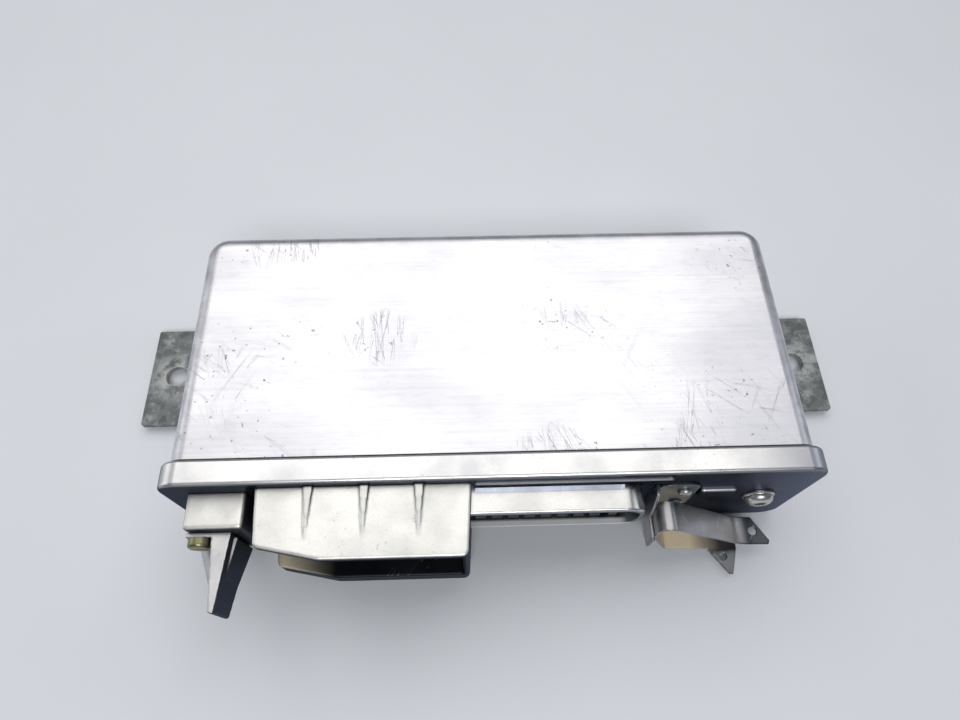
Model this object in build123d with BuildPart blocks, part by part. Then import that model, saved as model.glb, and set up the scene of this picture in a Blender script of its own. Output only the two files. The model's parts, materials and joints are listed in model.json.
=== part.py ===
from build123d import *
import os

os.makedirs("parts", exist_ok=True)

# Electronic control unit: a deep-drawn can closed by a die-cast front plate that carries
# the connector, its hood, the plug hook and the plug latch. Millimetres, +Z up, front is -Y.
# The origin is on the underside of the mounting plate, midway between the two ear holes.

# ---- driving dimensions -------------------------------------------------------------
plate_width, plate_height, plate_thick = 196.4, 48.5, 8.0
plate_corner, plate_edge = 6.5, 1.2
face_y = -56.6                                # front face of the front plate
plate_back_y = face_y + plate_thick

can_half_width, can_bottom, can_top = 96.1, 2.0, 46.4
can_back_y, can_wall = 33.3, 1.5
can_plan_corner, can_edge = 7.5, 5.0
gasket_thick = 0.8
can_front_y = plate_back_y + gasket_thick

ear_half_span, ear_half_depth = 127.2, 19.6
ear_hole_x, ear_hole_r = 117.5, 4.0
sheet_thick, ear_lift = 2.0, 2.0              # the ears step up from the underside
bend_start_x, bend_end_x = 95.6, 98.6

shroud_left, shroud_right = -71.9, 44.7
shroud_low, shroud_high = 25.1, 41.7
shroud_front_y, shroud_wall = -65.0, 1.8
shroud_corner = 6.6
contact_pitch, upper_row_count, lower_row_count = 5.0, 18, 17
last_contact_x = 30.7
upper_row_z, lower_row_z = 36.2, 31.0
insulator_front_y, insulator_back_y = -54.0, -43.6

hood_left, hood_right, hood_front_y = -69.6, -6.9, -77.4
hood_top, hood_bottom = 45.0, 9.0
hood_roof, hood_floor_top, hood_wall = 2.9, 17.0, 2.0

block_left, block_right, block_front_y = -90.2, -73.0, -67.2
block_low, block_high = 17.0, 41.2

hook_flange_thick = 1.5
hook_screw_x, hook_screw_z, hook_screw_r = -86.2, 35.6, 3.5

strip_back_y, strip_front_y = -60.0, -69.0    # width of the latch spring strip
strip_thick = 0.8
bend_z = 27.0                                 # height at which the latch arm flexes

board_z, board_thick = 12.0, 1.6
board_half_width, board_front_y, board_back_y = 88.5, -42.0, 28.0
board_top = board_z + board_thick
upper_board_z = 30.0
upper_board_top = upper_board_z + board_thick
spacer_points = [(x, y) for x in (-54.0, 54.0) for y in (-14.0, 18.0)]
gasket_lip = 2.2

plate_screw_x, plate_screw_z, plate_screw_r = 84.0, 24.9, 5.0
rivet_x, rivet_zs, rivet_shank_r = 57.9, (34.2, 22.6), 1.5
plate_rivet_points = [(x, y) for x in (-72.0, 72.0) for y in (-13.0, 13.0)]
plate_rivet_r = 2.4


# ---- helpers ------------------------------------------------------------------------
def xz(y):
    """Plane parallel to XZ at depth y. It faces -Y, with sketch x along X and y along Z."""
    return Plane.XZ.offset(-y)


def block(x0, x1, y0, y1, z0, z1, mode=Mode.ADD):
    """Rectangular block between two corners, added to the sub-part being built."""
    with Locations(((x0 + x1) / 2, (y0 + y1) / 2, (z0 + z1) / 2)):
        Box(x1 - x0, y1 - y0, z1 - z0, mode=mode)


def rounded_slab(x0, x1, z0, z1, radius, y_back, depth, mode=Mode.ADD):
    """Slab with a rounded outline in XZ that grows forwards (-Y) from y_back."""
    with BuildSketch(xz(y_back)) as outline:
        with Locations(((x0 + x1) / 2, (z0 + z1) / 2)):
            RectangleRounded(x1 - x0, z1 - z0, radius)
    extrude(outline.sketch, amount=depth, mode=mode)


def can_form(inset):
    """Solid form of the drawn can, made smaller all round by inset, open end at the front."""
    half, back = can_half_width - inset, can_back_y - inset
    low, high = can_bottom + inset, can_top - inset
    front = can_front_y
    with BuildPart() as form:
        with BuildSketch(Plane.XY.offset(low)):
            with Locations((0, (front + back) / 2)):
                Rectangle(2 * half, back - front)
            fillet(vertices().group_by(Axis.Y)[-1], can_plan_corner - inset)
        extrude(amount=high - low)
        rims = form.edges().group_by(Axis.Z)
        round_edges = [e for group in (rims[0], rims[-1]) for e in group
                       if e.center().Y > front + 1]
        fillet(round_edges, can_edge - inset)
    return form.part


def finish(builder, name):
    """Label a finished sub-part and write it as its own STEP file."""
    builder.part.label = name
    export_step(builder.part, f"parts/{name}.step")


# ---- housing ------------------------------------------------------------------------
with BuildPart() as housing_can:
    add(can_form(0))
    add(can_form(can_wall), mode=Mode.SUBTRACT)
    with Locations(*[(x, y, can_bottom) for x, y in plate_rivet_points]):
        Cylinder(plate_rivet_r, 3 * can_wall, mode=Mode.SUBTRACT)
finish(housing_can, "housing_can")

with BuildPart() as housing_gasket:
    rounded_slab(-can_half_width, can_half_width, can_bottom, can_top, can_edge,
                 can_front_y, gasket_thick)
    rounded_slab(-can_half_width + gasket_lip, can_half_width - gasket_lip,
                 can_bottom + gasket_lip, can_top - gasket_lip, can_edge - gasket_lip,
                 can_front_y, gasket_thick, mode=Mode.SUBTRACT)
finish(housing_gasket, "housing_gasket")

shroud_flange = 3.5                            # how far the shroud's rear flange stands out
pad_left, pad_right, pad_low, pad_high, pad_rise = hood_right + 0.4, 52.6, 41.4, 45.3, 0.9
boss_left, boss_right, boss_low, boss_high, boss_rise = 62.9, 74.0, 28.3, 34.6, 1.5
with BuildPart() as front_plate:
    rounded_slab(-plate_width / 2, plate_width / 2, 0, plate_height, plate_corner,
                 plate_back_y, plate_thick)
    plate_faces = front_plate.faces().sort_by(Axis.Y)
    fillet(plate_faces[0].edges() + plate_faces[-1].edges(), plate_edge)
    rounded_slab(pad_left, pad_right, pad_low, pad_high, 1.2, face_y, pad_rise)
    rounded_slab(boss_left, boss_right, boss_low, boss_high, 1.0, face_y, boss_rise)
    fillet(front_plate.faces().sort_by(Axis.Y)[0].edges(), 0.8)
    rounded_slab(shroud_left, shroud_right, shroud_low, shroud_high, shroud_corner,
                 plate_back_y, plate_thick + pad_rise, mode=Mode.SUBTRACT)
    with Locations(xz(face_y)):
        with Locations(*[(rivet_x, z) for z in rivet_zs]):
            Hole(rivet_shank_r)
        with Locations((plate_screw_x, plate_screw_z)):
            Hole(2.6)
finish(front_plate, "front_plate")

with BuildPart() as mounting_plate:
    with BuildSketch(xz(ear_half_depth)):
        with BuildLine():
            Polyline(
                (0, 0), (bend_start_x, 0), (bend_end_x, ear_lift), (ear_half_span, ear_lift),
                (ear_half_span, ear_lift + sheet_thick),
                (bend_end_x - 0.5, ear_lift + sheet_thick), (bend_start_x - 0.5, sheet_thick),
                (0, sheet_thick), close=True,
            )
        make_face()
        mirror(about=Plane.YZ)
    extrude(amount=2 * ear_half_depth)
    fillet(mounting_plate.edges().filter_by(Axis.Z), 0.8)
    with Locations((-ear_hole_x, 0, ear_lift), (ear_hole_x, 0, ear_lift)):
        Cylinder(ear_hole_r, 4 * sheet_thick, mode=Mode.SUBTRACT)
    with Locations(*[(x, y, 0) for x, y in plate_rivet_points]):
        Cylinder(plate_rivet_r, 3 * sheet_thick, mode=Mode.SUBTRACT)
finish(mounting_plate, "mounting_plate")

with BuildPart() as mounting_plate_rivets:
    rivet_low, rivet_high = 0.2, can_bottom + can_wall
    for x, y in plate_rivet_points:
        with Locations((x, y, (rivet_low + rivet_high) / 2)):
            Cylinder(plate_rivet_r, rivet_high - rivet_low)
        with Locations((x, y, rivet_high + 0.6)):
            Cylinder(4.0, 1.2)
finish(mounting_plate_rivets, "mounting_plate_rivets")

# ---- connector ----------------------------------------------------------------------
with BuildPart() as connector_shroud:
    rounded_slab(shroud_left, shroud_right, shroud_low, shroud_high, shroud_corner,
                 plate_back_y, plate_back_y - shroud_front_y)
    fillet(connector_shroud.faces().sort_by(Axis.Y)[0].edges(), 0.7)
    rounded_slab(shroud_left - shroud_flange, shroud_right + shroud_flange,
                 shroud_low - shroud_flange, shroud_high + 2, shroud_corner,
                 plate_back_y + 2, 2)
    rounded_slab(shroud_left + shroud_wall, shroud_right - shroud_wall,
                 shroud_low + shroud_wall, shroud_high - shroud_wall,
                 shroud_corner - shroud_wall, plate_back_y + 2, 30, mode=Mode.SUBTRACT)
finish(connector_shroud, "connector_shroud")

upper_xs = [last_contact_x - contact_pitch * i for i in range(upper_row_count)]
lower_xs = [x - contact_pitch / 2 for x in upper_xs[:lower_row_count]]
rib_low = shroud_low + shroud_wall
rib_high, rib_front_y, rib_width = rib_low + 2.4, -62.6, 3.2
blade_width, blade_thick = 2.4, 0.8
with BuildPart() as connector_insulator:
    rounded_slab(shroud_left + shroud_wall, shroud_right - shroud_wall, rib_low,
                 shroud_high - shroud_wall, shroud_corner - shroud_wall, insulator_back_y,
                 insulator_back_y - insulator_front_y)
    for x in upper_xs:
        block(x - rib_width / 2, x + rib_width / 2, rib_front_y, insulator_front_y,
              rib_low, rib_high)
    for x, width in ((36.2, 2.4), (-62.0, 2.4), (-59.0, 1.4)):
        block(x - width / 2, x + width / 2, rib_front_y, insulator_front_y, rib_low,
              shroud_high - shroud_wall)
    for row, z in ((upper_xs, upper_row_z), (lower_xs, lower_row_z)):
        for x in row:
            block(x - blade_width / 2, x + blade_width / 2, insulator_front_y,
                  insulator_back_y, z - blade_thick / 2, z + blade_thick / 2, Mode.SUBTRACT)
finish(connector_insulator, "connector_insulator")

tail_low = board_z - 1.4
blade_front_y = -61.0
with BuildPart() as contact_blades:
    for row, z, tail_y in ((upper_xs, upper_row_z, -34.0), (lower_xs, lower_row_z, -39.0)):
        for x in row:
            block(x - blade_width / 2, x + blade_width / 2, blade_front_y, tail_y,
                  z - blade_thick / 2, z + blade_thick / 2)
            block(x - 0.6, x + 0.6, tail_y - blade_thick, tail_y, tail_low,
                  z - blade_thick / 2)
finish(contact_blades, "contact_blades")

# The hood is a channel: a roof with three tapered ribs, a thick floor and one end wall.
hood_outline = [
    (hood_left, face_y), (hood_left + 1.2, -73.4), (-49.6, hood_front_y),
    (hood_right - 1.2, hood_front_y), (hood_right, face_y),
]
inner_outline = [
    (hood_left - 4, face_y + 1), (hood_left - 4, hood_front_y - 2),
    (hood_right - 1.2 - hood_wall, hood_front_y - 2), (hood_right - hood_wall, face_y + 1),
]
rib_xs, rib_root_half, rib_tip_y = (-54.0, -37.9, -22.1), 1.4, -71.4
with BuildPart() as connector_hood:
    with BuildSketch(Plane.XY.offset(hood_bottom)):
        with BuildLine():
            Polyline(*hood_outline, close=True)
        make_face()
    extrude(amount=hood_top - hood_bottom)
    fillet(connector_hood.edges().filter_by(Axis.Z).filter_by(
        lambda e: e.center().Y < hood_front_y + 6), 2.0)
    rims = connector_hood.edges().group_by(Axis.Z)
    fillet([e for group in (rims[0], rims[-1]) for e in group
            if e.center().Y < face_y - 1], 0.8)
    with BuildSketch(Plane.XY.offset(hood_floor_top)):
        with BuildLine():
            Polyline(*inner_outline, close=True)
        make_face()
    extrude(amount=hood_top - hood_roof - hood_floor_top, mode=Mode.SUBTRACT)
    rounded_slab(shroud_left - 0.3, shroud_right + 0.3, shroud_low - 0.3, shroud_high + 0.3,
                 shroud_corner, face_y + 0.5, face_y + 0.5 - shroud_front_y + 0.4,
                 mode=Mode.SUBTRACT)
    for x in rib_xs:                           # wedge ribs: tall at the plate, down to nothing
        with BuildSketch(xz(face_y)) as rib_root:
            with Locations((x, hood_top + 0.4)):
                Rectangle(2 * rib_root_half, 1.6)
        with BuildSketch(xz(rib_tip_y)) as rib_tip:
            with Locations((x, hood_top - 0.1)):
                Rectangle(0.3, 0.3)
        loft([rib_root.sketch, rib_tip.sketch])
finish(connector_hood, "connector_hood")

# ---- plug hook at the left end of the connector --------------------------------------
with BuildPart() as hook_block:
    block(block_left, block_right, block_front_y, face_y, block_low, block_high)
    fillet(hook_block.edges().filter_by(lambda e: e.center().Y < face_y - 0.1), 1.2)
    with Locations(xz(block_front_y)):
        with Locations((hook_screw_x, hook_screw_z)):
            Hole(1.7, depth=8)
finish(hook_block, "hook_block")

fin_root_y, fin_tip_y = block_front_y - hook_flange_thick, -89.6
flange_left, flange_right, flange_low, flange_high = -89.9, -76.9, 19.0, 39.4
with BuildPart() as plug_hook:
    rounded_slab(flange_left, flange_right, flange_low, flange_high, 1.0, block_front_y,
                 hook_flange_thick)
    with BuildSketch(Plane.XY.offset(flange_low)):
        with BuildLine():
            Polyline((-82.6, block_front_y - 1), (-80.1, fin_tip_y), (-78.5, fin_tip_y),
                     (-76.9, block_front_y - 1), close=True)
        make_face()
    extrude(amount=22)
    fillet(plug_hook.edges().filter_by(Axis.Z).sort_by(Axis.Y)[0:2], 0.6)
    with BuildSketch(Plane.XY.offset(flange_low)):            # ledge low on the right side
        with BuildLine():
            Polyline((-78.0, block_front_y - 1), (-78.4, -80.5), (-77.8, -80.5),
                     (-75.7, block_front_y - 1), close=True)
        make_face()
    extrude(amount=16)
    with BuildSketch(Plane.YZ.offset(-100)):                  # top and underside of the fin
        with BuildLine():
            Polyline((-60, 37.2), (fin_root_y, 38.0), (-92, 39.4), (-92, 50), (-60, 50),
                     close=True)
        make_face()
        with BuildLine():
            Polyline((-60, 10), (-60, flange_low), (fin_root_y, flange_low + 0.5),
                     (fin_tip_y, 25.2), (-92, 25.6), (-92, 10), close=True)
        make_face()
    extrude(amount=40, mode=Mode.SUBTRACT)
    with BuildSketch(xz(fin_root_y)) as gusset_root:          # sloping gusset on the left
        with BuildLine():
            Polyline((-82.0, 33.4), (-89.2, 28.6), (-89.2, 26.0), (-82.0, 22.0), close=True)
        make_face()
    with BuildSketch(xz(-84.0)) as gusset_tip:
        with BuildLine():
            Polyline((-80.2, 38.0), (-80.7, 37.4), (-80.7, 36.6), (-80.2, 34.0), close=True)
        make_face()
    loft([gusset_root.sketch, gusset_tip.sketch])
    with Locations(xz(fin_root_y)):
        with Locations((hook_screw_x, hook_screw_z)):
            Hole(2.1)
finish(plug_hook, "plug_hook")

with BuildPart() as hook_screw:
    rounded_head_y = fin_root_y
    with BuildSketch(xz(rounded_head_y)):
        with Locations((hook_screw_x, hook_screw_z)):
            Circle(hook_screw_r)
    extrude(amount=2.9)
    fillet(hook_screw.faces().sort_by(Axis.Y)[0].edges(), 1.0)
    with BuildSketch(xz(rounded_head_y - 2.9)):
        with Locations((hook_screw_x, hook_screw_z)):
            Rectangle(8, 0.9)
    extrude(amount=-1.3, mode=Mode.SUBTRACT)
    with BuildSketch(xz(rounded_head_y)):
        with Locations((hook_screw_x, hook_screw_z)):
            Circle(1.65)
    extrude(amount=-9)
finish(hook_screw, "hook_screw")

# ---- latch at the right end of the connector ------------------------------------------
foot_left, foot_right, foot_low, foot_high, foot_thick = 49.4, 61.8, 19.0, 40.2, 1.0
foot_front_y = face_y - foot_thick
cheek_front_y, cheek_low, cheek_high = -70.2, 14.0, 24.6
with BuildPart() as latch_bracket:
    rounded_slab(foot_left, foot_right, foot_low, foot_high, 3.0, face_y, foot_thick)
    with BuildSketch(Plane.YZ.offset(foot_left - foot_thick)):
        with BuildLine():
            Polyline((face_y, foot_low + 1), (face_y, foot_high - 2),
                     (strip_back_y + 0.4, foot_high - 2.4), (-61.2, 33.0), (-63.4, cheek_high),
                     (cheek_front_y, cheek_high), (cheek_front_y, cheek_low + 2),
                     (-66.0, cheek_low), (strip_back_y, cheek_low + 1), close=True)
        make_face()
    extrude(amount=foot_thick)
    block(foot_left - 0.5, foot_left + 3.5, foot_front_y, face_y, foot_low + 3,
          foot_high - 3.2)
    with Locations(xz(foot_front_y)):
        with Locations(*[(rivet_x, z) for z in rivet_zs]):
            Hole(rivet_shank_r)
finish(latch_bracket, "latch_bracket")

with BuildPart() as latch_rivets:
    for z in rivet_zs:
        with BuildSketch(xz(foot_front_y)):
            with Locations((rivet_x, z)):
                Circle(2.1)
        extrude(amount=1.5)
    fillet(latch_rivets.faces().filter_by(Axis.Y).sort_by(Axis.Y)[0:2].edges(), 1.2)
    for z in rivet_zs:
        with BuildSketch(xz(foot_front_y)):
            with Locations((rivet_x, z)):
                Circle(rivet_shank_r)
        extrude(amount=foot_front_y - plate_back_y)
finish(latch_rivets, "latch_rivets")

strip_width = strip_back_y - strip_front_y
wall_x = foot_left + strip_thick / 2           # centre line of the strip's upright wall
tab_z = 2.6                                    # height of the lower arm's flat end
with BuildPart() as latch_spring:              # root wall and lower arm, one bent strip
    with BuildSketch(xz(strip_back_y)):
        with BuildLine():
            FilletPolyline(
                (wall_x, bend_z - strip_thick), (wall_x, 22.0), (57.0, 5.6),
                (72.0, tab_z + strip_thick / 2), (82.0, tab_z + strip_thick / 2), radius=2.5,
            )
        trace(line_width=strip_thick)
    extrude(amount=strip_width)
    with BuildSketch(Plane.XY.offset(tab_z)):  # pointed ear that reaches forwards
        with BuildLine():
            Polyline((72.0, strip_front_y + 1), (72.0, strip_front_y), (78.2, -77.4),
                     (79.4, -77.4), (82.0, strip_front_y), (82.0, strip_front_y + 1),
                     close=True)
        make_face()
        with Locations((77.0, -71.6)):
            Circle(1.3, mode=Mode.SUBTRACT)
    extrude(amount=strip_thick)
finish(latch_spring, "latch_spring")

with BuildPart() as latch_arm:                 # upper arm, which flexes about the bend
    with BuildSketch(xz(strip_back_y)):
        with BuildLine():
            rise = Line((wall_x, bend_z), (wall_x, 28.5))
            crown = TangentArc(rise @ 1, (wall_x + 5.25, 30.94), tangent=rise % 1)
            ramp = Line(crown @ 1, (77.8, 11.8))
            settle = TangentArc(ramp @ 1, (86.3, 8.45), tangent=ramp % 1)
            Line(settle @ 1, (91.8, 8.2))
        trace(line_width=strip_thick)
        with Locations((wall_x, bend_z)):      # the root is rounded about the bend's axis
            Circle(strip_thick / 2)
    extrude(amount=strip_width)
    with BuildSketch(Plane.XY):                # the free end is cut on a slant
        with BuildLine():
            Polyline((85.9, strip_back_y + 1), (91.6, strip_front_y + 1.2),
                     (90.7, strip_front_y - 1), (96, strip_front_y - 1),
                     (96, strip_back_y + 1), close=True)
        make_face()
        with Locations((86.4, -64.6)):
            Circle(1.4)
    extrude(amount=60, mode=Mode.SUBTRACT)
finish(latch_arm, "latch_arm")

# ---- plate screw and heat sink ---------------------------------------------------------
sink_left, sink_back_y, sink_top = 57.0, -42.6, 38.0
with BuildPart() as plate_screw:
    with BuildSketch(xz(face_y)):
        with Locations((plate_screw_x, plate_screw_z)):
            Circle(plate_screw_r)
    extrude(amount=0.8)
    with BuildSketch(xz(face_y)):
        with Locations((plate_screw_x, plate_screw_z)):
            Circle(plate_screw_r - 0.6)
    extrude(amount=3.4)
    fillet(plate_screw.faces().sort_by(Axis.Y)[0].edges(), 2.3)
    with BuildSketch(xz(face_y - 3.4)):
        with Locations((plate_screw_x, plate_screw_z)):
            RegularPolygon(1.9, 6)
    extrude(amount=-1.8, mode=Mode.SUBTRACT)
    with BuildSketch(xz(face_y)):
        with Locations((plate_screw_x, plate_screw_z)):
            Circle(2.5)
    extrude(amount=-13)
finish(plate_screw, "plate_screw")

with BuildPart() as heat_sink_bar:
    block(sink_left, 90.6, plate_back_y, sink_back_y, board_top, sink_top)
    with Locations(xz(plate_back_y)):
        with Locations(*[(rivet_x, z) for z in rivet_zs]):
            Hole(3.0, depth=0.1)
    with Locations(Plane(origin=(plate_screw_x, plate_back_y, plate_screw_z), z_dir=(0, -1, 0))):
        Hole(2.5, depth=5.5)
finish(heat_sink_bar, "heat_sink_bar")

transistor_xs = (63.0, 71.0, 79.0)
with BuildPart() as power_transistors:
    for x in transistor_xs:
        block(x - 3.4, x + 3.4, sink_back_y, sink_back_y + 4.4, 18.0, 34.0)
        for lead in (-2.54, 0, 2.54):
            block(x + lead - 0.4, x + lead + 0.4, sink_back_y + 2, sink_back_y + 2.6,
                  board_top, 18.0)
finish(power_transistors, "power_transistors")

# ---- electronics ------------------------------------------------------------------------
with BuildPart() as main_board:
    block(-board_half_width, board_half_width, board_front_y, board_back_y, board_z, board_top)
    for row, tail_y in ((upper_xs, -34.0), (lower_xs, -39.0)):
        for x in row:
            block(x - 0.6, x + 0.6, tail_y - blade_thick, tail_y, board_z, board_top,
                  Mode.SUBTRACT)
finish(main_board, "main_board")

rail_inner_x, rail_outer_x, rail_low, rail_high = 86.5, can_half_width - can_wall, 9.6, 16.2
with BuildPart() as guide_rails:
    for side in (-1, 1):
        low_x, high_x = sorted((side * rail_inner_x, side * rail_outer_x))
        block(low_x, high_x, -36.0, 24.0, rail_low, rail_high)
        low_x, high_x = sorted((side * rail_inner_x, side * board_half_width))
        block(low_x, high_x, -36.0, 24.0, board_z, board_top, Mode.SUBTRACT)
finish(guide_rails, "guide_rails")

with BuildPart() as board_spacers:
    spacer_height = upper_board_z - board_top
    for x, y in spacer_points:
        with Locations((x, y, board_top + spacer_height / 2)):
            Cylinder(3.0, spacer_height)
            Cylinder(1.25, spacer_height, mode=Mode.SUBTRACT)
finish(board_spacers, "board_spacers")

with BuildPart() as upper_board:
    block(-60, 60, -20, 24, upper_board_z, upper_board_top)
    with Locations(*[(x, y, upper_board_z) for x, y in spacer_points]):
        Cylinder(1.6, 4 * board_thick, mode=Mode.SUBTRACT)
finish(upper_board, "upper_board")

with BuildPart() as board_screws:
    for x, y in spacer_points:
        with Locations((x, y, upper_board_top + 0.9)):
            Cylinder(2.7, 1.8)
        with Locations((x, y, upper_board_top - 4)):
            Cylinder(1.25, 8)
finish(board_screws, "board_screws")

with BuildPart() as board_header:
    block(-32, 32, 19.6, 22.2, board_top, board_top + 2.5)
    block(-32, 32, 19.6, 22.2, upper_board_z - 2.5, upper_board_z)
    for i in range(24):
        x = -29.21 + 2.54 * i
        block(x - 0.3, x + 0.3, 20.6, 21.2, board_top + 2.5, upper_board_z - 2.5)
finish(board_header, "board_header")

with BuildPart() as microcontroller:
    block(-49, -25, -20, 4, board_top + 0.2, board_top + 3.9)
    chamfer(microcontroller.edges().filter_by(Axis.Z), 0.8)
    for i in range(17):
        along = -20.32 + 1.27 * i
        for side in (-1, 1):
            x = -37 + side * 12.4
            low_x, high_x = sorted((x - side * 0.4, x + side * 0.4))
            block(low_x, high_x, along + 1.9, along + 2.5, board_top, board_top + 2.4)
finish(microcontroller, "microcontroller")

chip_spots = [(-20, -16), (-20, 4), (4, -16), (4, 4), (28, -16), (28, 4)]
with BuildPart() as logic_chips:
    for x, y in chip_spots:
        block(x - 3.2, x + 3.2, y - 8.5, y + 8.5, board_top + 0.5, board_top + 4.2)
        for i in range(7):
            pin_y = y - 7.62 + 2.54 * i
            for side in (-3.5, 3.5):
                block(x + side - 0.3, x + side + 0.3, pin_y - 0.5, pin_y + 0.5, board_top,
                      board_top + 2.4)
finish(logic_chips, "logic_chips")

with BuildPart() as driver_chips:
    for x in (-40, -20, 0, 20, 40):
        block(x - 6, x + 6, -8, 12, upper_board_top, upper_board_top + 3.4)
finish(driver_chips, "driver_chips")

capacitor_spots = [(70, -22), (70, -8), (70, 6)]
with BuildPart() as electrolytic_capacitors:
    for x, y in capacitor_spots:
        with Locations((x, y, board_top + 9)):
            Cylinder(5.0, 18)
    fillet(electrolytic_capacitors.faces().filter_by(Axis.Z).edges(), 0.8)
finish(electrolytic_capacitors, "electrolytic_capacitors")

with BuildPart() as film_capacitors:
    for x, y in ((-76, -26), (-76, -14), (-76, -2), (-76, 10)):
        block(x - 5, x + 5, y - 2.5, y + 2.5, board_top, board_top + 9)
finish(film_capacitors, "film_capacitors")

with BuildPart() as clock_crystal:
    block(-54, -44, 9, 13.6, board_top, board_top + 3.6)
    fillet(clock_crystal.edges().filter_by(Axis.Z), 2.0)
finish(clock_crystal, "clock_crystal")

with BuildPart() as resistors:
    for i in range(12):
        with Locations(Location((-34 + 6 * i, -28.5, board_top + 1.3), (90, 0, 0))):
            Cylinder(1.3, 6.4)
finish(resistors, "resistors")

with BuildPart() as diodes:
    for i in range(6):
        with Locations(Location((50 + 5.5 * i - 14, 24, board_top + 1.4), (0, 90, 0))):
            Cylinder(1.4, 4.0)
finish(diodes, "diodes")

with BuildPart() as foam_pad:
    block(-44, 44, -6, 11, upper_board_top + 3.4, can_top - can_wall)
finish(foam_pad, "foam_pad")
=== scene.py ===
import json
import math

import bmesh
import bpy
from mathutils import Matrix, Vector, noise


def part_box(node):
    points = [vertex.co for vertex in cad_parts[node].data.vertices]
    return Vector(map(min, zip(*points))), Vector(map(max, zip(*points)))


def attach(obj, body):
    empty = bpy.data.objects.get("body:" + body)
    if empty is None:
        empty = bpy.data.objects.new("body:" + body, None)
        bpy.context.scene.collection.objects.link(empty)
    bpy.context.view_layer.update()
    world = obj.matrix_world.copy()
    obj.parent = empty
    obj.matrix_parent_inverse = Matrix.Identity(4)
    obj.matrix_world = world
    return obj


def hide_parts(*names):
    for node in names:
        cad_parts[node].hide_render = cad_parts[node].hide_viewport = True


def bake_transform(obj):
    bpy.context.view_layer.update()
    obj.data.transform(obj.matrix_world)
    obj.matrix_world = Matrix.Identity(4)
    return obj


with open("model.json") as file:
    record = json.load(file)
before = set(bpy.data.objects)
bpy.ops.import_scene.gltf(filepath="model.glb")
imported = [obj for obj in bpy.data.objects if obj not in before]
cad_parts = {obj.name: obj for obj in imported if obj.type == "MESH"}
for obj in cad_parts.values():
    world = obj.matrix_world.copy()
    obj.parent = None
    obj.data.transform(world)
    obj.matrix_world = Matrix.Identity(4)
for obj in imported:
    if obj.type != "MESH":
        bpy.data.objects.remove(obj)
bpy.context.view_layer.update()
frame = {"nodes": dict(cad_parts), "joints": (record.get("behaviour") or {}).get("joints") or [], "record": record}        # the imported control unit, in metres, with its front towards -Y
MM = 0.001
UNIT = "unit"            # the fixed body

# Places on the unit, in metres.
can_low, can_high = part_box("housing_can")
CAN_RADIUS = 0.005
CAN_EDGE_X = can_high.x - CAN_RADIUS         # where the can's rounded edges start
CAN_EDGE_Y = can_high.y - CAN_RADIUS
EAR_HOLE_X = 0.1175                          # centre of each ear's hole, 235 mm apart
PLATE_FRONT = -0.0566                        # front face of the front plate
SHROUD_TOP = 0.0417
HOOD_LEFT = -0.0697
HOOD_WALL = -0.0092                          # inner face of the hood's right end wall


# ---- camera, lights and floor ------------------------------------------------------------
FOCAL_MM = 25.4                                   # on a 36 mm wide sensor
CAMERA_PLACE = (-0.0071, -0.1142, 0.2357)
CAMERA_TURN = (27.07, -0.30, -1.58)               # degrees: almost overhead, leaning forwards


def make_camera():
    data = bpy.data.cameras.new("camera")
    data.lens, data.sensor_width = FOCAL_MM, 36.0
    data.clip_start, data.clip_end = 0.01, 20.0
    camera = bpy.data.objects.new("camera", data)
    bpy.context.collection.objects.link(camera)
    camera.location = CAMERA_PLACE
    camera.rotation_euler = [math.radians(a) for a in CAMERA_TURN]
    bpy.context.scene.camera = camera


def soft_light(name, place, target, width, height, power, tint):
    """A rectangular studio light that faces a target point."""
    data = bpy.data.lights.new(name, "AREA")
    data.shape, data.size, data.size_y = "RECTANGLE", width, height
    data.energy, data.color = power, tint
    light = bpy.data.objects.new(name, data)
    bpy.context.collection.objects.link(light)
    light.location = place
    light.rotation_mode = "QUATERNION"
    light.rotation_quaternion = (Vector(target) - Vector(place)).to_track_quat("-Z", "Y")


def make_lights():
    soft_light("overhead", (-0.04, 0.52, 1.0), (-0.02, 0.05, 0), 1.45, 1.10, 7.6,
               (1, 0.99, 0.985))
    soft_light("front_fill", (0.05, -0.74, 0.92), (0, -0.05, 0), 0.5, 0.3, 5.0, (0.97, 0.98, 1))
    soft_light("right_fill", (1.0, 0.2, 0.5), (0, 0, 0.02), 0.4, 0.5, 0.8, (0.88, 0.93, 1))
    soft_light("left_fill", (-1.0, 0.15, 0.42), (-0.05, 0, 0.03), 0.9, 0.6, 2.0, (0.96, 0.97, 1))
    world = bpy.data.worlds.new("studio")
    bpy.context.scene.world = world
    world.use_nodes = True
    shade = world.node_tree.nodes["Background"]
    shade.inputs["Color"].default_value = (0.80, 0.86, 0.95, 1)
    shade.inputs["Strength"].default_value = 0.16
    bpy.context.scene.view_settings.view_transform = "Standard"


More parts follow.
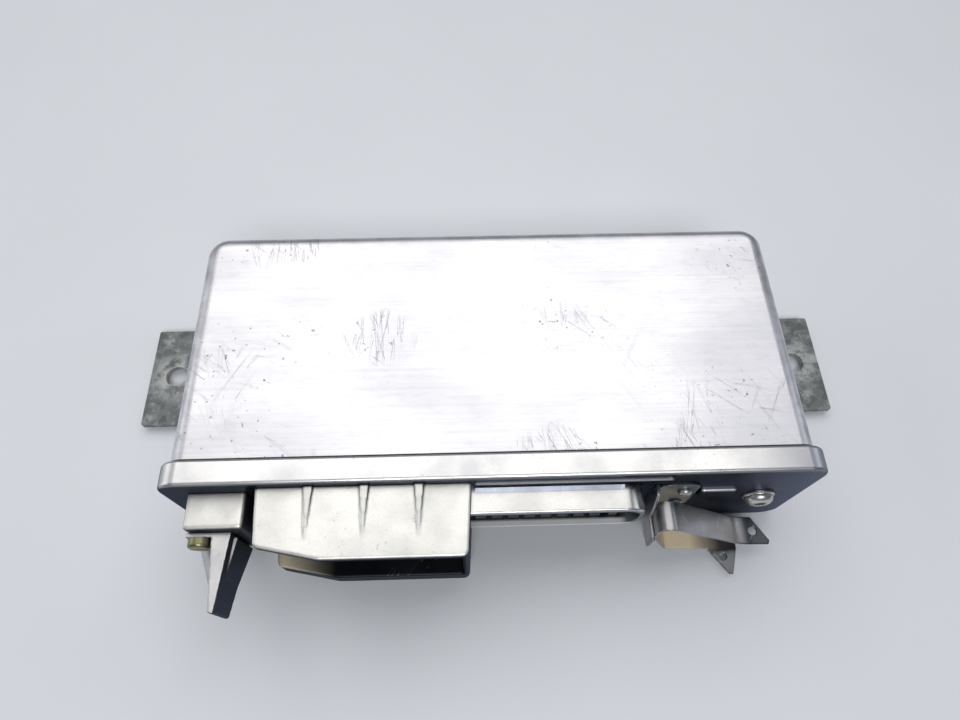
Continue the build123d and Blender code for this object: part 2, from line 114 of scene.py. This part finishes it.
# ---- procedural materials ----------------------------------------------------------------
class Finish:
    """One procedural material, built round a Principled shader in object coordinates (m)."""

    def __init__(self, name, colour, metallic=0.0):
        self.material = bpy.data.materials.new(name)
        self.material.use_nodes = True
        self.tree = self.material.node_tree
        self.shader = self.tree.nodes["Principled BSDF"]
        self.shader.inputs["Metallic"].default_value = metallic
        self.colour = self.rgb(colour)
        self.place = self.node("ShaderNodeTexCoord").outputs["Object"]
        self.height = None

    def node(self, kind, **values):
        made = self.tree.nodes.new(kind)
        for key, value in values.items():
            setattr(made, key, value)
        return made

    def link(self, source, target):
        self.tree.links.new(source, target)

    def rgb(self, colour):
        return (*colour, 1.0)

    def stretched(self, scale, turn=(0, 0, 0)):
        """Object coordinates turned by degrees, then scaled per axis."""
        spin = self.node("ShaderNodeMapping")
        spin.inputs["Rotation"].default_value = [math.radians(a) for a in turn]
        self.link(self.place, spin.inputs["Vector"])
        grow = self.node("ShaderNodeMapping")
        grow.inputs["Scale"].default_value = scale
        self.link(spin.outputs["Vector"], grow.inputs["Vector"])
        return grow.outputs["Vector"]

    def noise(self, scale, turn=(0, 0, 0), detail=3.0, rough=0.55):
        made = self.node("ShaderNodeTexNoise")
        made.inputs["Scale"].default_value = 1.0
        made.inputs["Detail"].default_value = detail
        made.inputs["Roughness"].default_value = rough
        self.link(self.stretched(scale, turn), made.inputs["Vector"])
        return made.outputs["Fac"]

    def cells(self, scale):
        """One grey value for each cell of a crystal pattern."""
        made = self.node("ShaderNodeTexVoronoi")
        made.inputs["Scale"].default_value = 1.0
        self.link(self.stretched(scale), made.inputs["Vector"])
        grey = self.node("ShaderNodeSeparateColor")
        self.link(made.outputs["Color"], grey.inputs["Color"])
        return grey.outputs["Red"]

    def ramp(self, value, low, high, first=0.0, last=1.0):
        """Maps value from low..high to first..last, held flat outside."""
        made = self.node("ShaderNodeMapRange")
        for socket, number in zip(("From Min", "From Max", "To Min", "To Max"),
                                  (low, high, first, last)):
            made.inputs[socket].default_value = number
        self.link(value, made.inputs["Value"])
        return made.outputs["Result"]

    def math(self, operation, first, second):
        made = self.node("ShaderNodeMath", operation=operation)
        for socket, value in zip(made.inputs, (first, second)):
            if isinstance(value, (int, float)):
                socket.default_value = value
            else:
                self.link(value, socket)
        return made.outputs["Value"]

    def blend(self, share, colour):
        """Blends another colour over the present one where share is 1."""
        made = self.node("ShaderNodeMix", data_type="RGBA")
        self.link(share, made.inputs["Factor"])
        if isinstance(self.colour, tuple):
            made.inputs["A"].default_value = self.colour
        else:
            self.link(self.colour, made.inputs["A"])
        made.inputs["B"].default_value = self.rgb(colour)
        self.colour = made.outputs["Result"]
        return self

    def band(self, value, centre, width):
        """1 in a thin band of value about centre, 0 elsewhere."""
        away = self.math("ABSOLUTE", self.math("SUBTRACT", value, centre), 0)
        return self.ramp(away, width * 0.4, width, 1.0, 0.0)

    def scratches(self, scale, turn, centre=0.62, width=0.01, patch=30.0, cover=0.55):
        """Thin broken lines that run along the long axis of a stretched noise."""
        line = self.band(self.noise(scale, turn, detail=1.0), centre, width)
        gate = self.ramp(self.noise((patch,) * 3, detail=1.0), cover, cover + 0.05)
        return self.math("MULTIPLY", line, gate)

    def specks(self, size, cover, patch=25.0, patch_cover=0.5):
        """Small spots in patches: size and patch are noise scales per metre."""
        spots = self.ramp(self.noise((size,) * 3, detail=2.0), cover, cover + 0.03)
        gate = self.ramp(self.noise((patch,) * 3, detail=1.0), patch_cover, patch_cover + 0.1)
        return self.math("MULTIPLY", spots, gate)

    def axis(self, letter, output="Object"):
        """One coordinate of the place, or of the surface's direction with output="Normal"."""
        split = self.node("ShaderNodeSeparateXYZ")
        coordinates = self.place.node.outputs[output]
        self.link(coordinates, split.inputs["Vector"])
        return split.outputs[letter]

    def upright(self):
        """1 where the surface stands upright or faces down, 0 where it faces up."""
        return self.ramp(self.axis("Z", "Normal"), 0.75, 0.35)

    def within(self, letter, low, high, soft=0.0004):
        """1 between two places in metres along one axis."""
        place = self.axis(letter)
        return self.math("MULTIPLY", self.ramp(place, low - soft, low + soft),
                         self.ramp(place, high + soft, high - soft))

    def shade_area(self, areas, share, colour):
        """Blends a colour where several masks overlap."""
        for area in areas:
            share = self.math("MULTIPLY", area, share)
        return self.blend(share, colour)

    def rough(self, value):
        self.link(value, self.shader.inputs["Roughness"])
        return self

    def bump(self, value, distance, strength=1.0):
        """Adds a bump layer of a real height in metres."""
        made = self.node("ShaderNodeBump")
        made.inputs["Strength"].default_value = strength
        made.inputs["Distance"].default_value = distance
        self.link(value, made.inputs["Height"])
        if self.height is not None:
            self.link(self.height, made.inputs["Normal"])
        self.height = made.outputs["Normal"]
        return self

    def done(self):
        if isinstance(self.colour, tuple):
            self.shader.inputs["Base Color"].default_value = self.colour
        else:
            self.link(self.colour, self.shader.inputs["Base Color"])
        if self.height is not None:
            self.link(self.height, self.shader.inputs["Normal"])
        return self.material


def brushed_can():
    """Satin drawn aluminium: brushed across the width, scratched, stained at the edges, with
    painted shade on the right side and on the rounded edges.
    """
    f = Finish("can_aluminium", (0.80, 0.79, 0.80), metallic=1.0)
    grain = f.noise((16, 1300, 1300), detail=4)
    cloud = f.noise((24, 40, 40), detail=5)
    f.blend(f.ramp(cloud, 0.42, 0.70, 0.0, 0.5), (0.70, 0.70, 0.75))
    f.blend(f.ramp(f.noise((9, 60, 60), detail=4), 0.50, 0.74, 0.0, 0.4), (0.86, 0.84, 0.83))
    f.blend(f.ramp(grain, 0.40, 0.75, 0.0, 0.32), (0.62, 0.62, 0.68))
    # painted shade: the right side of the can is blended greyer
    right = f.ramp(f.axis("X"), 0.045, 0.096)
    f.blend(f.math("MULTIPLY", right, 0.35), (0.66, 0.66, 0.74))
    side = f.ramp(f.math("ABSOLUTE", f.axis("X"), 0), CAN_EDGE_X - 0.001, CAN_EDGE_X + 0.004)
    rear = f.ramp(f.axis("Y"), CAN_EDGE_Y - 0.001, CAN_EDGE_Y + 0.004)
    rounded = f.ramp(f.axis("Z", "Normal"), 0.05, 0.35)
    rear = f.math("MULTIPLY", rear, rounded)
    rim_shade_and_grime = f.math("MAXIMUM", f.math("MULTIPLY", side, rounded), rear)
    # painted shade: the rounded side and rear edges darkened in place of the surroundings they
    # mirror
    f.blend(f.math("MULTIPLY", rim_shade_and_grime, 0.2), (0.56, 0.56, 0.62))
    # painted shade, bluish, stronger on the rounded rear edge
    f.blend(f.math("MULTIPLY", rear, 0.4), (0.44, 0.48, 0.55))
    # real grime: dark stains in patches along the same rounded edges
    stain = f.math("MULTIPLY", rim_shade_and_grime, f.ramp(f.noise((150, 150, 150), detail=7), 0.42, 0.66))
    f.blend(f.math("MULTIPLY", stain, 0.65), (0.26, 0.26, 0.30))
    marks = f.scratches((30, 640, 30), (0, 0, 12), 0.66, 0.007, 22.0, 0.60)
    for turn, centre in ((38, 0.66), (-62, 0.66), (72, 0.68), (84, 0.62), (92, 0.60),
                         (100, 0.35), (64, 0.33)):
        more = f.scratches((26, 700, 26), (0, 0, turn), centre, 0.006, 23.0 + turn * 0.05, 0.58)
        marks = f.math("MAXIMUM", marks, more)
    f.blend(f.math("MULTIPLY", marks, 0.6), (0.30, 0.30, 0.36))
    pale = f.scratches((9, 420, 9), (0, 0, 58), 0.63, 0.006, 9.0, 0.50)
    f.blend(f.math("MULTIPLY", pale, 0.35), (0.50, 0.50, 0.56))
    spots = f.math("MAXIMUM", f.specks(620, 0.68, 24, 0.50), f.specks(1100, 0.70, 15, 0.5))
    f.blend(f.math("MULTIPLY", spots, 0.8), (0.20, 0.20, 0.26))
    film = f.ramp(f.noise((170, 520, 520), detail=6, rough=0.7), 0.50, 0.66, 0.0, 0.22)
    f.blend(film, (0.52, 0.52, 0.58))
    rough = f.ramp(cloud, 0.3, 0.7, 0.30, 0.42)
    f.rough(f.math("ADD", rough, f.math("MULTIPLY", grain, 0.08)))
    f.bump(grain, 0.000012).bump(f.noise((45, 70, 70), detail=2), 0.00018, 0.5)
    f.bump(f.math("MAXIMUM", marks, spots), -0.00003)
    return f.done()


def cast_metal(name, colour, roughness, grit, dark, front, extra=None):
    """Die-cast aluminium: fine skin grain, cloudy tone and dull stains, with painted shade on
    the faces that stand upright or face down.
    """
    f = Finish(name, colour, metallic=1.0)
    f.shader.inputs["Specular Tint"].default_value = (0.32, 0.35, 0.40, 1)
    skin = f.noise((1900, 1900, 1900), detail=4)
    cloud = f.noise((75, 75, 75), detail=6)
    f.blend(f.ramp(cloud, 0.42, 0.70, 0.0, 0.6), dark)
    f.blend(f.ramp(skin, 0.50, 0.75, 0.0, 0.5), dark)
    f.blend(f.math("MULTIPLY", f.specks(700, 0.67, 60, 0.48), 0.35), (0.30, 0.29, 0.28))
    # painted shade: faces that stand upright or face down are blended 90 % towards front, in
    # place of the dark floor they mirror
    f.blend(f.math("MULTIPLY", f.upright(), 0.9), front)
    if extra:
        extra(f)
    nicks = f.scratches((900, 60, 60), (20, 35, 40), 0.66, 0.014, 90.0, 0.55)
    f.blend(f.math("MULTIPLY", nicks, 0.2), (0.80, 0.80, 0.80))
    f.rough(f.ramp(cloud, 0.3, 0.7, roughness, roughness + 0.14))
    f.bump(skin, grit, 0.8).bump(f.noise((260, 260, 260), detail=3), 0.00005, 0.5)
    return f.done()


def galvanised():
    """Dull hot-dip zinc with spangle, white bloom and dark dirt."""
    f = Finish("galvanised_steel", (0.17, 0.18, 0.18), metallic=0.5)
    tone = f.cells((360, 360, 360))
    f.blend(f.ramp(tone, 0.2, 0.9, 0.0, 0.5), (0.085, 0.095, 0.09))
    bloom = f.ramp(f.noise((190, 190, 190), detail=8, rough=0.72), 0.50, 0.64)
    f.blend(f.math("MULTIPLY", bloom, 0.7), (0.42, 0.43, 0.43))
    white = f.ramp(f.noise((420, 420, 420), detail=6, rough=0.7), 0.60, 0.68)
    f.blend(f.math("MULTIPLY", f.math("MULTIPLY", white, bloom), 0.8), (0.62, 0.63, 0.62))
    aside = f.math("SUBTRACT", f.math("ABSOLUTE", f.axis("X"), 0), EAR_HOLE_X)
    away = f.math("SQRT", f.math("ADD", f.math("POWER", aside, 2.0),
                                 f.math("POWER", f.axis("Y"), 2.0)), 0)
    around = f.math("MULTIPLY", f.ramp(away, 0.012, 0.006),
                    f.ramp(f.noise((260, 260, 260), detail=7, rough=0.7), 0.42, 0.55))
    f.blend(f.math("MULTIPLY", around, 0.75), (0.50, 0.51, 0.50))
    f.rough(f.ramp(tone, 0.0, 1.0, 0.45, 0.62))
    f.bump(bloom, 0.00006, 0.7).bump(tone, 0.00002, 0.5)
    return f.done()


def rolled_steel(name, colour, warm, roughness):
    """Spring strip: rolling lines across it, painted light on the inside of the lower arm, and
    painted shade on the front edges, the foot and the far end.
    """
    f = Finish(name, colour, metallic=1.0)
    lines = f.noise((60, 1700, 60), detail=3)
    cloud = f.noise((110, 110, 110), detail=5)
    f.blend(f.ramp(cloud, 0.42, 0.70, 0.0, 0.7), warm)
    f.blend(f.ramp(lines, 0.45, 0.75, 0.0, 0.35), (0.30, 0.29, 0.28))
    # painted shade: the strip darkens towards its far end, nearly black beyond X = 80 mm
    f.blend(f.math("MULTIPLY", f.ramp(f.axis("X"), 0.066, 0.080), 0.6), (0.30, 0.27, 0.24))
    f.blend(f.math("MULTIPLY", f.ramp(f.axis("X"), 0.080, 0.084), 0.85), (0.08, 0.09, 0.11))
    # painted light: the upward inner face of the lower arm is pale gold and hardly metallic, a
    # painted reflection
    inner = f.math("MULTIPLY", f.ramp(f.axis("Z"), 0.0100, 0.0065),
                   f.ramp(f.axis("Z", "Normal"), 0.1, 0.6))
    inner = f.math("MULTIPLY", inner, f.ramp(f.axis("X"), 0.0765, 0.066))
    f.blend(inner, (1.0, 0.84, 0.58))
    f.link(f.ramp(inner, 0.0, 1.0, 1.0, 0.05), f.shader.inputs["Metallic"])
    # painted shade on the strip's front edges
    f.blend(f.math("MULTIPLY", f.ramp(f.axis("Y"), -0.0685, -0.0705), 0.8), (0.10, 0.11, 0.13))
    # painted shade on the foot that lies against the plate
    foot = [f.within("Y", -0.0590, -0.0560), f.within("Z", 0.015, 0.045)]
    f.shade_area(foot, 0.8, (0.13, 0.15, 0.17))
    nicks = f.scratches((700, 50, 50), (0, 0, 28), 0.65, 0.012, 90.0, 0.5)
    f.blend(f.math("MULTIPLY", nicks, 0.4), (0.88, 0.85, 0.78))
    f.rough(f.ramp(cloud, 0.3, 0.7, roughness, roughness + 0.12))
    f.bump(lines, 0.000012, 0.7)
    return f.done()


def plated(name, colour, dark, roughness):
    """Zinc-plated fastener with a mottled passivation film."""
    f = Finish(name, colour, metallic=1.0)
    film = f.noise((520, 520, 520), detail=5)
    f.blend(f.ramp(film, 0.42, 0.68, 0.0, 0.8), dark)
    f.rough(f.ramp(film, 0.3, 0.7, roughness, roughness + 0.18))
    f.bump(f.noise((3000, 3000, 3000), detail=2), 0.000012, 0.7)
    return f.done()


def moulded(name, colour, roughness, extra=None):
    """Moulded plastic, rubber or foam: fine texture, slight tone changes and dust."""
    f = Finish(name, colour)
    cloud = f.noise((160, 160, 160), detail=4)
    light = tuple(min(1.0, c * 1.5 + 0.02) for c in colour)
    f.blend(f.ramp(cloud, 0.40, 0.75, 0.0, 0.35), light)
    dust = f.ramp(f.axis("Z", "Normal"), 0.4, 0.9, 0.0, 0.35)
    f.blend(dust, tuple(c * 0.7 + 0.10 for c in colour))
    if extra:
        extra(f)
    f.rough(f.ramp(cloud, 0.3, 0.7, roughness, roughness + 0.12))
    f.bump(f.noise((2200, 2200, 2200), detail=3), 0.000018, 0.7)
    return f.done()


def laminate():
    """Green lacquered circuit board with faint copper runs under the lacquer."""
    f = Finish("board_laminate", (0.03, 0.16, 0.07))
    runs = f.band(f.noise((260, 900, 900), detail=0.0), 0.5, 0.05)
    f.blend(f.math("MULTIPLY", runs, 0.6), (0.10, 0.30, 0.12))
    f.rough(f.ramp(f.noise((300, 300, 300)), 0.3, 0.7, 0.26, 0.36))
    f.bump(runs, 0.00003, 0.6)
    return f.done()


def floor_finish():
    f = Finish("studio_floor", (0.76, 0.78, 0.81))
    f.blend(f.ramp(f.noise((9, 9, 9), detail=3), 0.35, 0.7, 0.0, 0.4), (0.72, 0.74, 0.77))
    f.rough(f.ramp(f.noise((40, 40, 40)), 0.3, 0.7, 0.46, 0.56))
    f.bump(f.noise((900, 900, 900), detail=2), 0.00002, 0.5)
    return f.done()


def lip_painted_light_and_shade(f):
    """Painted light on the lower lip of the connector's shroud, pale and hardly metallic, and
    painted shade behind it.
    """
    low = f.within("Z", 0.020, 0.0272)
    # painted shade: nearly black behind the lip, inside the opening
    f.shade_area([low, f.within("Y", -0.0634, -0.0540)], 1.0, (0.02, 0.02, 0.025))
    # painted light: the lip itself pale and hardly metallic
    lip = f.math("MULTIPLY", low, f.within("Y", -0.07, -0.0634))
    f.blend(lip, (0.90, 0.91, 0.93))
    f.link(f.ramp(lip, 0.0, 1.0, 1.0, 0.15), f.shader.inputs["Metallic"])


def rib_fronts(f):
    """Painted light on the front ends of the insulator's ribs."""
    f.shade_area([f.within("Y", -0.08, -0.0605), f.within("Z", 0.0305, 0.05)], 1.0,
                 (0.16, 0.15, 0.19))


def hood_inside(f):
    """Painted shade inside the hood, nearly black, and a painted golden reflection on its floor
    at the left end.
    """
    inside = [f.within("Z", 0.0162, 0.0435), f.within("Y", -0.0778, -0.05)]
    # painted shade: the inside of the hood nearly black
    f.shade_area(inside + [f.within("X", -0.0685, HOOD_WALL)], 1.0, (0.022, 0.025, 0.032))
    painted_golden_reflection = [f.within("X", HOOD_LEFT, -0.0500), f.ramp(f.axis("X"), -0.050, -0.066)]
    # painted reflection: golden on the hood's floor at the left end
    f.shade_area(inside + painted_golden_reflection, 0.8, (0.86, 0.77, 0.58))


def shadow_rail(f):
    """Painted shade: the rail above the connector is painted nearly black, and the plate's right
    end greyer.
    """
    f.shade_area([f.within("X", -0.2, 0.0615), f.within("Y", -0.08, PLATE_FRONT - 0.0006)], 0.9,
                 (0.05, 0.06, 0.07))
    # painted shade: the plate's right end greyer
    f.blend(f.ramp(f.axis("X"), 0.070, 0.098, 0.0, 0.7), (0.34, 0.36, 0.42))


FINISHES = {
    "can_aluminium": brushed_can(),
    # In each casting below, the colour after the darker tone is the painted shade of its upright
    # faces.
    "plate_casting": cast_metal("plate_casting", (0.78, 0.77, 0.75), 0.27, 0.000015,
                                (0.60, 0.60, 0.62), (0.035, 0.04, 0.055), shadow_rail),
    "hood_casting": cast_metal("hood_casting", (0.88, 0.87, 0.82), 0.38, 0.00003,
                               (0.70, 0.69, 0.65), (0.04, 0.045, 0.06), hood_inside),
    "galvanised_steel": galvanised(),
    "spring_steel": rolled_steel("spring_steel", (0.46, 0.46, 0.48), (0.40, 0.37, 0.35), 0.24),
    "screw_steel": plated("screw_steel", (0.62, 0.61, 0.58), (0.42, 0.42, 0.40), 0.24),
    "yellow_zinc": plated("yellow_zinc", (0.30, 0.28, 0.16), (0.16, 0.16, 0.10), 0.30),
    "tinned_contacts": plated("tinned_contacts", (0.74, 0.74, 0.72), (0.55, 0.55, 0.53), 0.25),
    "connector_plastic": moulded("connector_plastic", (0.014, 0.014, 0.018), 0.42,
                                 rib_fronts),
    "seal_rubber": moulded("seal_rubber", (0.020, 0.020, 0.020), 0.68),
    "board_laminate": laminate(),
    "chip_plastic": moulded("chip_plastic", (0.022, 0.022, 0.025), 0.50),
    "rail_plastic": moulded("rail_plastic", (0.70, 0.69, 0.64), 0.45),
    "capacitor_sleeve": moulded("capacitor_sleeve", (0.02, 0.05, 0.20), 0.28),
    "film_plastic": moulded("film_plastic", (0.55, 0.07, 0.04), 0.30),
    "resistor_body": moulded("resistor_body", (0.55, 0.42, 0.26), 0.42),
}


# Castings that differ from the rest of their slot, and the shroud's root.
NODE_FINISHES = {
    # The shroud: painted light on its upright faces, and its lip painted light with painted
    # shade behind it.
    "connector_shroud": cast_metal("shroud_casting", (0.70, 0.69, 0.66), 0.24, 0.000012,
                                   (0.54, 0.54, 0.54), (0.55, 0.57, 0.60), lip_painted_light_and_shade),
    # The shroud's root: a dark copy of the casting, painted shade in the crease under the
    # shroud's top.
    "shroud_root": cast_metal("root_casting", (0.26, 0.28, 0.32), 0.36, 0.000012,
                              (0.20, 0.22, 0.26), (0.14, 0.15, 0.18)),
    "plug_hook": cast_metal("hook_casting", (0.62, 0.61, 0.61), 0.34, 0.00003,
                            (0.50, 0.50, 0.50), (0.06, 0.07, 0.09)),
}


def finish_of(name, slot):
    return NODE_FINISHES.get(name, FINISHES[slot])


def dress_cad_nodes():
    """Gives every CAD node the finish of its material slot."""
    slots = {s["node"]: s["material_slot"] for s in frame["record"]["subparts"]}
    for name, node in frame["nodes"].items():
        node.data.materials.clear()
        node.data.materials.append(finish_of(name, slots[name]))


# ---- pieces with rounded edges --------------------------------------------------------------
def own_mesh(piece):
    """Turns a piece's modifiers into its own mesh."""
    graph = bpy.context.evaluated_depsgraph_get()
    mesh = bpy.data.meshes.new_from_object(piece.evaluated_get(graph))
    piece.modifiers.clear()
    piece.data = mesh
    for face in mesh.polygons:
        face.use_smooth = True


def soften(nodes, name, slot, voxel, passes, extra=None):
    """One piece with the CAD nodes' shape, its edges rounded as casting or pressing leaves them.

    voxel is the size in mm of the new mesh's faces, and passes is how far edges are rounded."""
    form = bmesh.new()
    for node in nodes:
        form.from_mesh(frame["nodes"][node].data)
    if extra:
        extra(form)
    mesh = bpy.data.meshes.new(name)
    form.to_mesh(mesh)
    form.free()
    piece = bpy.data.objects.new(name, mesh)
    bpy.context.collection.objects.link(piece)
    remesh = piece.modifiers.new("skin", "REMESH")
    remesh.mode, remesh.voxel_size = "VOXEL", voxel * MM
    smooth = piece.modifiers.new("soft", "SMOOTH")
    smooth.factor, smooth.iterations = 0.5, passes
    own_mesh(piece)
    piece.data.materials.clear()
    piece.data.materials.append(finish_of(nodes[0], slot))
    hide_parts(*nodes)
    return piece


def cast_skin(piece, height, size, seed):
    """Moves the surface in and out a little, as the skin of a casting lies."""
    bumps = [noise.noise(v.co / (size * MM) + Vector((seed, 0, 0))) for v in piece.data.vertices]
    shifts = [v.normal * (bump - 1) * height * MM for v, bump in zip(piece.data.vertices, bumps)]
    for vertex, shift in zip(piece.data.vertices, shifts):
        vertex.co += shift


def soft_pieces():
    for node, voxel, passes in (("connector_hood", 0.30, 2), ("hook_block", 0.3, 4),
                                ("plug_hook", 0.22, 4)):
        piece = soften([node], node + "_cast", "hood_casting", voxel, passes)
        cast_skin(piece, 0.025, 3.0, 7.0)
        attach(piece, UNIT)
    for node, slot, voxel, passes in (("plate_screw", "screw_steel", 0.13, 2),
                                      ("latch_rivets", "screw_steel", 0.12, 2),
                                      ("hook_screw", "yellow_zinc", 0.12, 3)):
        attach(soften([node], node + "_turned", slot, voxel, passes), UNIT)
    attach(soften(["latch_bracket"], "latch_bracket_pressed", "spring_steel", 0.16, 2), UNIT)
    latch_strip()
    shroud_root()


def shroud_root():
    """The sloping cast collar where the shroud's top meets the front plate."""
    reach, sunk = 2.2 * MM, 0.4 * MM             # how far it stands out, and lies in both
    left, right = -6.0 * MM, 38.0 * MM
    form = bmesh.new()
    section = ((PLATE_FRONT + sunk, SHROUD_TOP - sunk),
               (PLATE_FRONT + sunk, SHROUD_TOP + reach * 0.9),
               (PLATE_FRONT - reach * 0.3, SHROUD_TOP + reach * 0.45),
               (PLATE_FRONT - reach, SHROUD_TOP + 0.1 * MM),
               (PLATE_FRONT - reach, SHROUD_TOP - sunk))
    rings = [[form.verts.new((x, y, z)) for y, z in section] for x in (left, right)]
    form.faces.new(rings[0])
    form.faces.new(reversed(rings[1]))
    for i, start in enumerate(rings[0]):
        j = (i + 1) % len(section)
        form.faces.new((start, rings[1][i], rings[1][j], rings[0][j]))
    bmesh.ops.recalc_face_normals(form, faces=form.faces)
    mesh = bpy.data.meshes.new("shroud_root")
    form.to_mesh(mesh)
    form.free()
    root = bpy.data.objects.new("shroud_root", mesh)
    bpy.context.collection.objects.link(root)
    mesh.materials.append(finish_of("shroud_root", "plate_casting"))
    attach(root, UNIT)


def latch_strip():
    """The latch's two arms as the one bent strip that they are, joined at the bend."""
    hinge = Vector(frame["joints"][0]["pos_m"])
    low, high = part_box("latch_arm")
    wall_half = 0.4 * MM

    def join(form):                            # fills the gap between arm and root wall
        made = bmesh.ops.create_cube(form, size=1.0)
        size = Vector((2 * wall_half, high.y - low.y, 2.2 * MM))
        bmesh.ops.scale(form, vec=size, verts=made["verts"])
        middle = Vector((hinge.x, (low.y + high.y) / 2, hinge.z - 0.6 * MM))
        bmesh.ops.translate(form, vec=middle, verts=made["verts"])

    strip = soften(["latch_spring", "latch_arm"], "latch_strip", "spring_steel", 0.17, 2, join)
    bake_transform(strip)


# ---- assembly -----------------------------------------------------------------------------
def make_floor():
    mesh = bpy.data.meshes.new("floor")
    form = bmesh.new()
    bmesh.ops.create_grid(form, x_segments=24, y_segments=24, size=3.0)
    form.to_mesh(mesh)
    form.free()
    floor = bpy.data.objects.new("floor", mesh)
    bpy.context.collection.objects.link(floor)
    mesh.materials.append(floor_finish())


make_camera()
make_lights()
make_floor()
dress_cad_nodes()
soft_pieces()
